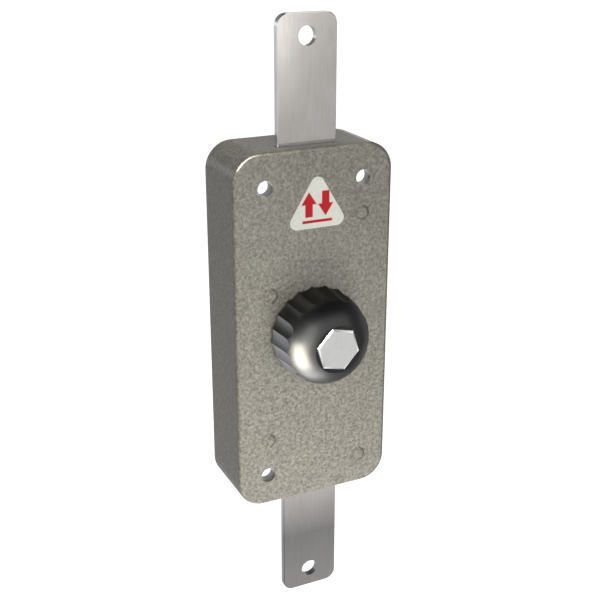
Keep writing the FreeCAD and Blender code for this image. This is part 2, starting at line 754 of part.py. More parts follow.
def make_pinion_shaft():
    """Join the teeth, the journals and the squares of the spindle, and tap its front end."""
    teeth = doc.addObject("Part::Feature", "pinion_teeth")
    teeth.Shape = pinion_outline(size("pinion_back")).extrude(Vector(0, -size("pinion_length"), 0))
    body = new_body("pinion_shaft")
    body.BaseFeature = teeth
    doc.recompute()
    core = new_sketch(body, "XY_Plane")
    stations = [
        ("0", "shaft_back"), ("rear_chamfer_radius", "shaft_back"),
        ("rear_journal_radius", "shaft_chamfer_end"), ("rear_journal_radius", "circlip_back"),
        ("groove_radius", "circlip_back"), ("groove_radius", "cam_back"),
        ("rear_journal_radius", "cam_back"), ("rear_journal_radius", "pinion_back"),
        ("root_radius", "pinion_back"), ("root_radius", "pinion_front"),
        ("front_journal_radius", "pinion_front"), ("front_journal_radius", "bush_lip_front"),
        ("rear_journal_radius", "bush_lip_front"), ("rear_journal_radius", "shaft_front"),
        ("0", "shaft_front")]
    add_polygon(core, [(radius, "-" + depth) for radius, depth in stations])
    before = volume_of(body)
    turning = body.newObject("PartDesign::Revolution", "pinion_shaft_turning")
    turning.Profile = core
    turning.ReferenceAxis = (core, ["V_Axis"])
    turning.Angle = 360
    settle(body, turning, before, True)
    for depth, run in (("cam_back", "cam_square_run"), ("bush_lip_front", "knob_square_run")):
        square = new_sketch(body, lift=depth)
        add_rectangle(square, "-square_half", "square_half", "-square_half", "square_half")
        pad(body, square, run)
    hole = new_sketch(body, lift="shaft_front")
    add_circle(hole, "0", "0", "screw_thread")
    pocket(body, hole, "knob_screw_run")


def make_bearings():
    """Turn the bush in the case front and the cup in the back plate."""
    turned("front_bush", [
        ("front_bore_radius", "front_flange_back"), ("front_flange_radius", "front_flange_back"),
        ("front_flange_radius", "front_inner"), ("front_bush_radius", "front_inner"),
        ("front_bush_radius", "bush_lip_front"), ("front_bore_radius", "bush_lip_front")])
    turned("rear_bush", [
        ("0", "0"), ("rear_bush_radius", "0"), ("rear_bush_radius", "plate_thickness"),
        ("rear_flange_radius", "plate_thickness"), ("rear_flange_radius", "rear_flange_front"),
        ("rear_bore_radius", "rear_flange_front"), ("rear_bore_radius", "rear_bush_floor"),
        ("0", "rear_bush_floor")])


def make_detent():
    """Make the cam with a notch at each end of the turn, its circlip, its leaf spring and the tail's pin."""
    cam = new_body("detent_cam")
    disc = new_sketch(cam, lift="cam_back")
    add_circle(disc, "0", "0", "cam_diameter")
    pad(cam, disc, "cam_thickness")
    socket = new_sketch(cam, lift="cam_back")
    add_rectangle(socket, "-socket_half", "socket_half", "-socket_half", "socket_half")
    pocket(cam, socket, forwards=True)
    notch = new_sketch(cam, lift="cam_back")
    add_circle(notch, "-notch_centre", "0", "notch_diameter")
    first_notch = pocket(cam, notch, forwards=True)
    pattern = repeat_round(cam, first_notch, notch, 2, "turn_angle")
    pattern.Reversed = True

    circlip = new_body("cam_circlip")
    ring = new_sketch(circlip, lift="circlip_back")
    add_circle(ring, "0", "0", "circlip_diameter")
    add_circle(ring, "0", "0", "circlip_bore")
    pad(circlip, ring, "circlip_thickness")
    opening = new_sketch(circlip, lift="circlip_back")
    add_rectangle(opening, "-circlip_gap_half", "circlip_gap_half", "-circlip_radius", "0")
    pocket(circlip, opening, forwards=True)

    make_spring()
    turned("spring_stop_pin", [
        ("0", "0"), ("stop_spigot_radius", "0"), ("stop_spigot_radius", "plate_thickness"),
        ("stop_pin_radius", "plate_thickness"), ("stop_pin_radius", "spring_high"),
        ("0", "spring_high")], "-stop_pin_x", "-stop_pin_z")


def rounded_path(points, radii):
    """Return the edges of a path whose inner points are rounded to the given radii."""
    edges = []
    start = points[0]
    for before, corner, after, radius in zip(points, points[1:], points[2:], radii):
        arriving = (corner - before).normalize()
        leaving = (after - corner).normalize()
        half_turn = arriving.getAngle(leaving) / 2
        reach = radius * math.tan(half_turn)
        first, last = corner - arriving * reach, corner + leaving * reach
        inward = (leaving - arriving).normalize()
        middle = corner + inward * (radius / math.cos(half_turn) - radius)
        edges.append(Part.makeLine(start, first))
        edges.append(Part.Arc(first, middle, last).toShape())
        start = last
    edges.append(Part.makeLine(start, points[-1]))
    return edges


def make_spring():
    """Bend the leaf: an eye round the middle left pillar, a nose in the cam's notch, a straight tail."""
    low = size("spring_low")
    half = size("spring_thickness") / 2
    eye_radius = size("eye_radius")
    pillar = Vector(-size("middle_left_x"), -low, size("middle_left_z"))
    leaf_x, notch_x = -size("leaf_x"), -size("notch_centre")
    nose = size("nose_radius") - half
    nose_point = Vector(notch_x + nose * math.sqrt(2), -low, 0)
    reach = nose_point.x - leaf_x
    upper_bend = Vector(leaf_x, -low, reach)
    lower_bend = Vector(leaf_x, -low, -reach)
    tail = Vector(leaf_x, -low, -size("spring_tail"))
    run = upper_bend - pillar
    exit_angle = math.atan2(run.z, run.x) + math.acos(eye_radius / run.Length)
    wrap = math.radians(size("eye_wrap"))

    def on_eye(angle):
        return pillar + on_circle(eye_radius, angle, 0)

    eye = Part.Arc(on_eye(exit_angle + wrap), on_eye(exit_angle + wrap / 2), on_eye(exit_angle)).toShape()
    bend = size("bend_radius")
    leaf = rounded_path([on_eye(exit_angle), upper_bend, nose_point, lower_bend, tail], [bend, nose, bend])
    path = Part.Wire([eye] + leaf)
    strip = path.makeOffset2D(half, 0, True, False)
    spring = doc.addObject("Part::Feature", "detent_spring")
    spring.Shape = strip.extrude(Vector(0, low - size("spring_high"), 0))
    spring.Label = "detent_spring"
    finished.append(spring)


def make_guides():
    """Mould the two guide blocks, each with a slot for both bars, a core and two pegs."""
    for label, z in (("upper_guide", "guide_place"), ("lower_guide", "-guide_place")):
        body = new_body(label)
        section = new_sketch(body, "XY_Plane", lift="-guide_half_length")
        add_rectangle(section, "-guide_half_width", "guide_half_width", "-front_inner", "-plate_thickness")
        add_rectangle(section, "-guide_slot_x", "guide_slot_x", "-guide_slot_front", "-guide_slot_back")
        add_rectangle(section, "-guide_core_x", "guide_core_x", "-guide_core_front", "-guide_core_back")
        pad(body, section, "guide_length")
        pegs = new_sketch(body, lift="peg_end_gap")
        add_circle(pegs, "-peg_place", "0", "peg_diameter")
        add_circle(pegs, "peg_place", "0", "peg_diameter")
        pad(body, pegs, "peg_length")
        place(body, "0", z)


def add_hexagon(sketch, corner, half_corner, half_flats):
    """Draw a hexagon with a corner on each side."""
    add_polygon(sketch, [(corner, "0"), (half_corner, half_flats), ("-" + half_corner, half_flats),
                         ("-" + corner, "0"), ("-" + half_corner, "-" + half_flats),
                         (half_corner, "-" + half_flats)])


def add_dome(sketch, corners):
    """Draw a half outline: back, drafted side, an arc tangent to it, front and axis."""
    points = [Vector(size(x), size(y), 0) for x, y in corners]
    side = points[2] - points[1]
    run = points[3] - points[2]
    outward = Vector(-side.y, side.x, 0).normalize()
    radius = run.Length ** 2 / 2 / abs(run.dot(outward))
    centre = points[2] - outward * radius
    middle = centre + ((points[2] + points[3]) / 2 - centre).normalize() * radius
    for start, end in ((0, 1), (1, 2), (3, 4), (4, 0)):
        sketch.addGeometry(Part.LineSegment(points[start], points[end]), False)
    arc = sketch.addGeometry(Part.Arc(points[2], middle, points[3]), False)
    for line, corner in ((0, 0), (1, 1), (2, 3), (3, 4)):
        pin(sketch, line, 1, *corners[corner])
    pin(sketch, 1, 2, *corners[2])
    for first, second in ((0, 1), (2, 3), (3, 0)):
        sketch.addConstraint(Sketcher.Constraint("Coincident", first, 2, second, 1))
    ends = (1, 2) if sketch.getPoint(arc, 1).isEqual(points[2], 1e-6) else (2, 1)
    sketch.addConstraint(Sketcher.Constraint("Tangent", 1, 2, arc, ends[0]))
    sketch.addConstraint(Sketcher.Constraint("Coincident", arc, ends[1], 2, 1))


def make_knob():
    """Mould the knob: a domed cone, fluted, cored from behind, with its socket and recesses."""
    body = new_body("knob")
    blank = new_sketch(body, "XY_Plane")
    add_dome(blank, [("0", "-knob_back"), ("knob_radius", "-knob_back"),
                     ("shoulder_radius", "-shoulder_depth"), ("flat_radius", "-knob_front"),
                     ("0", "-knob_front")])
    turning(body, blank)
    flute = new_sketch(body, lift="knob_back", turn="flute_turn")
    add_circle(flute, "flute_place", "0", "flute_diameter")
    first_flute = pocket(body, flute, "knob_height", forwards=True, draft="knob_draft")
    repeat_round(body, first_flute, flute, "flute_count")
    core = new_sketch(body, lift="knob_back")
    add_circle(core, "0", "0", "core_diameter")
    add_circle(core, "0", "0", "hub_diameter")
    pocket(body, core, "core_depth", forwards=True)
    rib = new_sketch(body, lift="knob_back")
    add_rectangle(rib, "rib_inner", "rib_outer", "-rib_half", "rib_half")
    first_rib = pad(body, rib, "core_depth")
    repeat_round(body, first_rib, rib, "knob_rib_count")
    socket = new_sketch(body, lift="knob_back")
    add_rectangle(socket, "-socket_half", "socket_half", "-socket_half", "socket_half")
    pocket(body, socket, "socket_run", forwards=True)
    screw_hole = new_sketch(body, lift="web_back")
    add_circle(screw_hole, "0", "0", "screw_hole")
    pocket(body, screw_hole, "knob_web", forwards=True)
    head_room = new_sketch(body, lift="web_front")
    add_circle(head_room, "0", "0", "screw_recess")
    pocket(body, head_room, "recess_run", forwards=True)
    seat = new_sketch(body, lift="hex_floor", turn="hex_turn")
    add_hexagon(seat, "seat_corner", "seat_half_corner", "seat_half_flats")
    pocket(body, seat, "hex_run", forwards=True)


def make_knob_fittings():
    """Make the washer and screw that hold the knob, and the cap over them."""
    turned("knob_washer", [
        ("washer_bore", "web_front"), ("washer_radius", "web_front"),
        ("washer_radius", "washer_front"), ("washer_bore", "washer_front")])
    screw = turned("knob_screw", [
        ("0", "knob_screw_tip"), ("shank_radius", "knob_screw_tip"), ("shank_radius", "washer_front"),
        ("pan_head_radius", "washer_front"), ("pan_head_radius", "pan_head_shoulder"),
        ("pan_head_top_radius", "pan_head_front"), ("0", "pan_head_front")])
    cross_recess(screw, "pan_head_front", forwards=False)
    cap = new_body("hex_cap")
    outline = new_sketch(cap, lift="hex_floor", turn="hex_turn")
    add_hexagon(outline, "hex_corner", "hex_half_corner", "hex_half_flats")
    pad(cap, outline, "hex_thickness")
    front = size("hex_floor") + size("hex_thickness")
    rim = edge_names(cap.Shape, lambda edge: on_depth(edge, front))
    dress(cap, "Chamfer", rim, "Size", "hex_chamfer")


def make_label():
    """Cut the sticker: a triangle with round corners."""
    body = new_body("front_label")
    outline = new_sketch(body, lift="case_depth")
    add_rounded(outline, [("-label_left", "label_low", "label_corner"),
                          ("label_right", "label_low", "label_corner"),
                          ("label_x", "label_high", "label_corner")])
    pad(body, outline, "label_thickness")


make_case()
make_back_plate()
make_fixings()
make_bars()
make_pinion_shaft()
make_bearings()
make_detent()
make_guides()
make_knob()
make_knob_fittings()
make_label()
doc.recompute()

for item in doc.Objects:
    if "Invalid" in item.State or "Error" in item.State:
        raise RuntimeError(f"{item.Label}: {item.State}")
for item in finished:
    shape = item.Shape
    if shape.isNull() or not shape.isValid():
        raise RuntimeError(f"{item.Label}: bad shape")
for item in finished:
    item.Shape.exportStep(f"parts/{item.Label}.step")
    print(item.Label, len(item.Shape.Solids), "solids", round(item.Shape.Volume, 1), "mm3")
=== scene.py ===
import math

import bmesh
import bpy
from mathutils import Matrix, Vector


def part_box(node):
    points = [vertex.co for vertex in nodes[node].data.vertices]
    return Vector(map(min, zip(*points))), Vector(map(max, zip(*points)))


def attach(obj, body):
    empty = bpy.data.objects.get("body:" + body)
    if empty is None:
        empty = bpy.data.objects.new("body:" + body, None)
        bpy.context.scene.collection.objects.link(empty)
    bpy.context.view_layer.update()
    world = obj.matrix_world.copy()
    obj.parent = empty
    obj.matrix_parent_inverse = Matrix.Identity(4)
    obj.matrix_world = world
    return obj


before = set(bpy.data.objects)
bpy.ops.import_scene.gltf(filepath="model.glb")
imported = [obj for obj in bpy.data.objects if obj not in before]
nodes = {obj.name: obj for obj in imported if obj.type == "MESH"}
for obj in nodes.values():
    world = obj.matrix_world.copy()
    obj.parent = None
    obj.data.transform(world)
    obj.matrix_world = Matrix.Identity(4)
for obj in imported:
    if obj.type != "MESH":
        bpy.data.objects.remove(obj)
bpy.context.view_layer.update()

# Lengths are in metres unless said otherwise, colours are linear, and the door's face is at y = 0.
MILLIMETRE = 0.001

# Directions
FORWARDS = (0, -1, 0)
RIGHTWARDS = (1, 0, 0)
DOWN_LEFT = (-0.7, 0, -0.7)

# Camera, as solved from the photograph's perspective; angles in degrees, lens and sensor in millimetres
CAMERA_PLACE = (-0.17550, -0.38453, 0.16505)
CAMERA_YAW = -25.42
CAMERA_TILT = 20.937
FOCAL_LENGTH = 63.63
SENSOR_WIDTH = 36.0
NEAREST_SEEN = 0.01
FARTHEST_SEEN = 60.0

# Places of a Mix node's colour sockets, which share their names with its other sockets
FIRST_COLOUR = 6
SECOND_COLOUR = 7
MIXED_COLOUR = 2

# Hammered paint: grains a metre of its two noises, how deep it is, and how its painted shade darkens it to
# the right and up
WORM_GRAINS = 760.0
WRINKLE_GRAINS = 620.0
PAINT_DEPTH = 0.0006
PAINT_SHADE_SLOPE = (4.0, 0, 5.0)

# Bars: grains a metre of the drawn lines and the clouds, how the lines are stretched upwards, the height
# that the painted light and shade along them span, and how their painted highlight pales them to the left
# and up
LINE_GRAINS = 2400.0
CLOUD_GRAINS = 60.0
LINE_STRETCH = (1, 1, 0.03)
TONE_HEIGHT = 0.25
BAR_HIGHLIGHT_SLOPE = (-10.0, 0, 6.0)

# Knob: grains a metre of its orange peel and its haze
PEEL_GRAINS = 900.0
HAZE_GRAINS = 120.0

# Hexagon cap: half its width across flats in millimetres, its turn in degrees, its brush lines and grain
HEXAGON_HALF = 8.2
HEXAGON_TURN = -12.7
BRUSH_GRAINS = 2600.0
BRUSH_STRETCH = (1, 1, 0.04)
CAP_GRAINS = 500.0

# Sleeves: grains a metre of the turned rings, and how the depth in the hole becomes a place on the ramp
# of painted shade and painted light
RING_GRAINS = 1800.0
RING_STRETCH = (0.03, 1, 0.03)
DEPTH_SCALE = 40.0
DEPTH_START = 1.1

# Nylon's clouds and the sticker's mottle, in grains a metre
NYLON_GRAINS = 180.0
FILM_GRAINS = 700.0

# Depths of the fine bumps
FINE_DEPTH = 0.00001
CAP_DEPTH = 0.000008
RING_DEPTH = 0.000004
NYLON_DEPTH = 0.00002

# Nodes that are lit or dressed together
BARS = ("upper_bar", "lower_bar")
SLEEVES = ("sleeve_upper_left", "sleeve_upper_right", "sleeve_lower_left")
RIVETS = ("pillar_upper_right", "pillar_middle_left", "pillar_lower_left", "pillar_lower_right")
BACK_SCREWS = tuple(name.replace("pillar", "back_screw") for name in RIVETS)

# Bead of paint round each riveted head: radii, sinking and rise in millimetres, and steps round it
BEAD_INSIDE = 2.55
BEAD_OUTSIDE = 3.3
BEAD_SUNK = 0.06
BEAD_RISE = 0.30
BEAD_STEPS = 40
# Its section as (radius, place behind the case's front)
BEAD_SECTION = (
    (BEAD_INSIDE, BEAD_SUNK), (BEAD_OUTSIDE, BEAD_SUNK), (BEAD_OUTSIDE, -0.01), (2.95, -0.12),
    (2.70, -0.26), (BEAD_INSIDE, -BEAD_RISE))

# Print on the sticker, in millimetres
ARROW_LENGTH = 10.0
ARROW_HEAD = 5.0
HALF_HEAD = 3.3
HALF_STEM = 1.6
ARROW_OFFSET = 3.6
ARROW_LIFT = 4.6
HALF_RULE = 6.4
RULE_WIDTH = 1.1
RULE_LIFT = 2.2
PRINT_SUNK = 0.01
PRINT_THICKNESS = 0.05

# Studio
FLOOR_HEIGHT = -0.70
FLOOR_HALF_WIDTH = 12.0
BACKDROP_RADIUS = 9.0
BACKDROP_SUBDIVISIONS = 4
CARD_DROP = 0.002
PALE_GLOW = 0.97

# Colours of the lamps
WHITE = (1, 1, 1)
DAYLIGHT = (1.0, 0.98, 0.93)
AMBER = (1.0, 0.96, 0.80)
CREAM = (1.0, 1.0, 0.97)
LEAF = (0.97, 1.0, 0.95)
ROSE = (1.0, 0.97, 0.93)
ICE = (0.95, 0.97, 1.0)

# What the lamps look at
FRONT_MIDDLE = (0, -0.03, 0)
CASE_TOP = (0, 0, 0.05)
KNOB_MIDDLE = (0, -0.04, 0)
KNOB_SHOULDER = (-0.015, -0.045, 0)
TOP_LEFT_CORNER = (-0.03, -0.03, 0.07)
TOP_EDGE = (-0.02, -0.03, 0.07)
UPPER_BAR_MIDDLE = (0, -0.02, 0.12)
BARS_MIDDLE = (0, -0.02, 0.05)
HOLES_MIDDLE = (0, 0, 0.02)


def shade(material_name, base, metallic, roughness):
    """Start a material: a node tree with its main shader's plain sockets set."""
    material = bpy.data.materials.new(material_name)
    material.use_nodes = True
    shader = material.node_tree.nodes["Principled BSDF"]
    shader.inputs["Base Color"].default_value = (*base, 1)
    shader.inputs["Metallic"].default_value = metallic
    shader.inputs["Roughness"].default_value = roughness
    return material, shader


def add(material, kind, **settings):
    """Add a node, and set its sockets or its own settings by name."""
    node = material.node_tree.nodes.new("ShaderNode" + kind)
    for name, value in settings.items():
        socket = node.inputs.get(name.replace("_", " ").title())
        if socket is not None and not hasattr(node, name):
            socket.default_value = value
        else:
            setattr(node, name, value)
    return node


def join(material, *chain):
    """Link each (node, output) of a chain to the (node, input) after it."""
    for (source, output), (target, socket) in zip(chain[::2], chain[1::2]):
        material.node_tree.links.new(source.outputs[output], target.inputs[socket])


def place_texture(material, stretch=(1, 1, 1)):
    """Return a mapping of the object's own metres, stretched by axis."""
    coordinates = add(material, "TexCoord")
    mapping = add(material, "Mapping")
    mapping.inputs["Scale"].default_value = stretch
    join(material, (coordinates, "Object"), (mapping, "Vector"))
    return mapping


def noise(material, mapping, scale, detail=2.0, roughness=0.5, distortion=0.0):
    """Add a noise of so many grains a metre."""
    node = add(material, "TexNoise", scale=scale, detail=detail, roughness=roughness, distortion=distortion)
    join(material, (mapping, "Vector"), (node, "Vector"))
    return node


def reckon(material, operation, source, other=0.0, third=0.0):
    """Reckon with a value and one or two numbers."""
    node = add(material, "Math", operation=operation)
    node.inputs[1].default_value = other
    node.inputs[2].default_value = third
    join(material, source, (node, 0))
    return node


def measure(material, source, direction):
    """Return how far a vector reaches in a direction."""
    node = add(material, "VectorMath", operation="DOT_PRODUCT")
    node.inputs[1].default_value = direction
    join(material, source, (node, "Vector"))
    return node


def facing(material, direction=FORWARDS):
    """Return how far the surface turns to a side: 0 square to it, 1 looking straight that way."""
    return measure(material, (add(material, "NewGeometry"), "Normal"), direction)


def split(material, source, output="Vector"):
    """Take a vector apart into X, Y and Z."""
    node = add(material, "SeparateXYZ")
    join(material, (source, output), (node, "Vector"))
    return node


def tint(material, first, second):
    """Multiply two colours."""
    node = add(material, "Mix", data_type="RGBA", blend_type="MULTIPLY")
    node.inputs["Factor"].default_value = 1.0
    join(material, first, (node, FIRST_COLOUR), second, (node, SECOND_COLOUR))
    return node


def blend_values(material, first, second, share):
    """Mix two values, so much of the second."""
    node = add(material, "Mix", data_type="FLOAT")
    node.inputs["Factor"].default_value = share
    join(material, first, (node, "A"), second, (node, "B"))
    return node


def ramp(material, source, output, stops):
    """Turn a value into a colour between stops of (place, colour)."""
    node = add(material, "ValToRGB")
    elements = node.color_ramp.elements
    while len(elements) < len(stops):
        elements.new(0.5)
    for element, (position, colour) in zip(elements, stops):
        element.position = position
        element.color = (*colour, 1)
    join(material, (source, output), (node, "Fac"))
    return node


def spread(material, source, output, low, high, shader, socket):
    """Drive one of the shader's values between two limits."""
    node = add(material, "MapRange")
    node.inputs["To Min"].default_value = low
    node.inputs["To Max"].default_value = high
    join(material, (source, output), (node, "Value"), (node, "Result"), (shader, socket))


def bump(material, source, output, depth, strength, shader):
    """Raise the surface by a value, so many metres deep."""
    node = add(material, "Bump", strength=strength, distance=depth)
    join(material, (source, output), (node, "Height"), (node, "Normal"), (shader, "Normal"))


def grey(value, warm=0.0):
    """Return a grey, a little warmer or cooler."""
    return (value * (1 + warm), value, value * (1 - warm))


def hammered_paint():
    """Grey-beige hammered enamel: pale worms and dark pits, with painted shade on the sides, up to the right
    and down the right-hand fillet, and a painted sheen on the front's edges.
    """
    material, shader = shade("hammered_paint", (0.14, 0.13, 0.11), 0.0, 0.5)
    shader.inputs["Specular IOR Level"].default_value = 0.15
    shader.inputs["Coat Weight"].default_value = 0.8
    shader.inputs["Coat Roughness"].default_value = 0.22
    mapping = place_texture(material)
    worms = noise(material, mapping, WORM_GRAINS, 0.4, 0.4, distortion=0.5)
    bends = noise(material, mapping, WRINKLE_GRAINS, 0.3, 0.4, distortion=1.1)
    centred = reckon(material, "SUBTRACT", (bends, "Fac"), 0.5)
    wrinkles = reckon(material, "ABSOLUTE", (centred, "Value"))
    ridges = ramp(material, wrinkles, "Value", [(0.0, grey(1.0)), (0.05, grey(0.55)), (0.16, grey(0.0))])
    height = blend_values(material, (worms, "Fac"), (ridges, "Color"), 0.30)
    tone = ramp(material, height, "Result", [
        (0.24, (0.087, 0.082, 0.068)), (0.45, (0.126, 0.119, 0.100)), (0.70, (0.189, 0.179, 0.153))])
    front = facing(material)
    # Painted shade: the front grows darker upwards and to the right, and paler low down at the left.
    corner = measure(material, (mapping, "Vector"), PAINT_SHADE_SLOPE)
    faced = add(material, "Math", operation="MULTIPLY_ADD")
    faced.inputs[2].default_value = 0.5
    join(material, (corner, "Value"), (faced, 0), (front, "Value"), (faced, 1))
    rise = ramp(material, faced, "Value", [
        (0.14, grey(1.18)), (0.35, grey(1.04)), (0.65, grey(0.86)), (0.76, grey(0.78)), (0.85, grey(0.67))])
    # Painted shade darkens the sides and the top, and a painted sheen pales the fillets round the front.
    edge = ramp(material, front, "Value", [
        (0.02, grey(0.76)), (0.15, grey(0.62)), (0.45, (1.12, 1.1, 1.07)), (0.9, (1.2, 1.17, 1.12)),
        (0.985, grey(1.0))])
    lifted = tint(material, (tone, "Color"), (rise, "Color"))
    wear_and_painted_light = tint(material, (lifted, MIXED_COLOUR), (edge, "Color"))
    # Painted shade: a dark line down the fillet at the right-hand edge.
    right = ramp(material, facing(material, RIGHTWARDS), "Value", [
        (0.03, grey(1.0)), (0.15, grey(0.45)), (0.8, grey(0.35)), (0.97, grey(1.0))])
    shaded = tint(material, (wear_and_painted_light, MIXED_COLOUR), (right, "Color"))
    join(material, (shaded, MIXED_COLOUR), (shader, "Base Color"))
    spread(material, height, "Result", 0.46, 0.62, shader, "Roughness")
    bump(material, height, "Result", PAINT_DEPTH, 0.63, shader)
    return material


def bar_steel():
    """Drawn flat steel: fine lines along the bar, painted shade at the lower end, painted light at the bars'
    feet, and painted highlights on the sides and the top left corner.
    """
    material, shader = shade("bar_steel", grey(0.42, 0.02), 1.0, 0.24)
    fine = noise(material, place_texture(material, LINE_STRETCH), LINE_GRAINS, 3.0, 0.65)
    place = place_texture(material)
    cloud = noise(material, place, CLOUD_GRAINS, 4.0, 0.6)
    streak = blend_values(material, (fine, "Fac"), (cloud, "Fac"), 0.45)
    tone = ramp(material, streak, "Result", [
        (0.3, grey(0.248, 0.06)), (0.5, grey(0.28, 0.045)), (0.7, grey(0.313, 0.02))])
    # Painted light and shade along the height: paler at the bars' feet, darker towards the lower bar's end.
    rise = reckon(material, "MULTIPLY_ADD", (split(material, place), "Z"), 1 / TONE_HEIGHT, 0.5)
    along = ramp(material, rise, "Value", [
        (0.0, (0.66, 0.68, 0.70)), (0.11, (0.53, 0.55, 0.57)), (0.20, (1.27, 1.25, 1.27)), (0.5, grey(1.09)),
        (0.79, grey(1.6)), (0.8035, grey(1.6)), (0.808, grey(1.07))])
    toned = tint(material, (tone, "Color"), (along, "Color"))
    # Painted highlight: the upper bar pales towards its top left corner.
    corner = measure(material, (place, "Vector"), BAR_HIGHLIGHT_SLOPE)
    painted_corner_highlight = ramp(material, corner, "Value", [(0.6, grey(1.0)), (0.85, grey(1.3))])
    shaded = tint(material, (toned, MIXED_COLOUR), (painted_corner_highlight, "Color"))
    # Painted sheen: faces turned away from the front, the sides, come out paler and bluer.
    painted_side_sheen = ramp(material, facing(material), "Value", [(0.2, (1.95, 2.1, 2.25)), (0.8, grey(1.0))])
    edged = tint(material, (shaded, MIXED_COLOUR), (painted_side_sheen, "Color"))
    join(material, (edged, MIXED_COLOUR), (shader, "Base Color"))
    spread(material, streak, "Result", 0.13, 0.24, shader, "Roughness")
    bump(material, fine, "Fac", FINE_DEPTH, 0.3, shader)
    return material


def black_plastic():
    """Black moulding with a soft gloss and the faintest orange peel, greyer down its flutes, with painted
    light on the flutes that face down and to the left.
    """
    material, shader = shade("black_plastic", (0.010, 0.010, 0.011), 0.0, 0.3)
    shader.inputs["Specular IOR Level"].default_value = 0.12
    mapping = place_texture(material)
    peel = noise(material, mapping, PEEL_GRAINS, 2.0)
    haze = noise(material, mapping, HAZE_GRAINS, 3.0)
    tone = ramp(material, haze, "Fac", [(0.35, (0.0025, 0.0025, 0.003)), (0.7, (0.004, 0.004, 0.005))])
    wear_and_painted_light = ramp(material, haze, "Fac", [(0.35, (0.014, 0.0145, 0.016)), (0.7, (0.018, 0.0185, 0.020))])
    # Painted light: the grey flutes brighten where they face down and to the left, and go dark where they
    # face away.
    low = ramp(material, facing(material, DOWN_LEFT), "Value", [(0.0, grey(0.04)), (0.6, grey(1.25))])
    flute_wear_and_painted_light = tint(material, (wear_and_painted_light, "Color"), (low, "Color"))
    side = ramp(material, facing(material), "Value", [(0.10, grey(1.0)), (0.14, grey(0.0))])
    mix = add(material, "Mix", data_type="RGBA")
    join(material, (side, "Color"), (mix, "Factor"))
    join(material, (tone, "Color"), (mix, FIRST_COLOUR), (flute_wear_and_painted_light, MIXED_COLOUR), (mix, SECOND_COLOUR))
    join(material, (mix, MIXED_COLOUR), (shader, "Base Color"))
    spread(material, haze, "Fac", 0.30, 0.44, shader, "Roughness")
    bump(material, peel, "Fac", FINE_DEPTH, 0.25, shader)
    return material


def across_flats(material, place):
    """Return how far a point lies out towards the hexagon's nearest flat."""
    reaches = []
    for number in range(3):
        angle = math.radians(HEXAGON_TURN + 30 + 60 * number)
        across = measure(material, (place, "Vector"), (math.sin(angle), 0, math.cos(angle)))
        reaches.append(reckon(material, "ABSOLUTE", (across, "Value")))
    far = reaches[0]
    for reach in reaches[1:]:
        most = add(material, "Math", operation="MAXIMUM")
        join(material, (far, "Value"), (most, 0), (reach, "Value"), (most, 1))
        far = most
    return far


def cap_metal():
    """Pale drawn metal with upright brush lines, paler round the hexagon's rim."""
    material, shader = shade("cap_metal", grey(0.5), 0.85, 0.42)
    lines = noise(material, place_texture(material, BRUSH_STRETCH), BRUSH_GRAINS, 2.0, 0.5)
    place = place_texture(material)
    grain = noise(material, place, CAP_GRAINS, 3.0)
    mixed = blend_values(material, (lines, "Fac"), (grain, "Fac"), 0.5)
    tone = ramp(material, mixed, "Result", [(0.3, grey(0.37)), (0.7, grey(0.43))])
    far = across_flats(material, place)
    outwards = reckon(material, "MULTIPLY_ADD", (far, "Value"), 1 / MILLIMETRE, 1 - HEXAGON_HALF)
    rim = ramp(material, outwards, "Value", [(0.35, grey(1.0)), (0.55, grey(2.3))])
    shaded = tint(material, (tone, "Color"), (rim, "Color"))
    join(material, (shaded, MIXED_COLOUR), (shader, "Base Color"))
    spread(material, mixed, "Result", 0.34, 0.46, shader, "Roughness")
    bump(material, mixed, "Result", CAP_DEPTH, 0.3, shader)
    return material


def plated(name, value, warm, roughness, scale):
    """Plated or bare steel with crystals or grain of a given scale."""
    material, shader = shade(name, grey(value, warm), 1.0, sum(roughness) / 2)
    mapping = place_texture(material)
    crystals = add(material, "TexVoronoi", feature="F1", scale=scale)
    join(material, (mapping, "Vector"), (crystals, "Vector"))
    grain = noise(material, mapping, scale * 4, 3.0)
    mix = blend_values(material, (crystals, "Distance"), (grain, "Fac"), 0.5)
    tone = ramp(material, mix, "Result", [
        (0.25, grey(value * 0.88, warm)), (0.6, grey(value, warm)), (0.9, grey(value * 1.08, 0))])
    join(material, (tone, "Color"), (shader, "Base Color"))
    spread(material, mix, "Result", *roughness, shader, "Roughness")
    bump(material, grain, "Fac", FINE_DEPTH, 0.3, shader)
    return material


def bright_steel():
    """Whitish zinc plating over turned steel, with fine rings round the tubes, painted shade at each hole's
    mouth and painted light deeper in.
    """
    material, shader = shade("bright_steel", grey(0.8), 0.3, 0.4)
    rings = noise(material, place_texture(material, RING_STRETCH), RING_GRAINS, 2.0)
    tone = ramp(material, rings, "Fac", [(0.3, grey(0.68)), (0.7, grey(0.80))])
    spot = split(material, place_texture(material))
    inwards = reckon(material, "MULTIPLY_ADD", (spot, "Y"), DEPTH_SCALE, DEPTH_START)
    # Painted shade near each hole's mouth, and painted light deeper in, paler than the plating.
    deep = ramp(material, inwards, "Value", [(0.0, grey(0.075)), (0.132, grey(0.08)), (0.168, grey(1.25))])
    mouth = tint(material, (tone, "Color"), (deep, "Color"))
    join(material, (mouth, MIXED_COLOUR), (shader, "Base Color"))
    spread(material, rings, "Fac", 0.28, 0.42, shader, "Roughness")
    bump(material, rings, "Fac", RING_DEPTH, 0.3, shader)
    return material


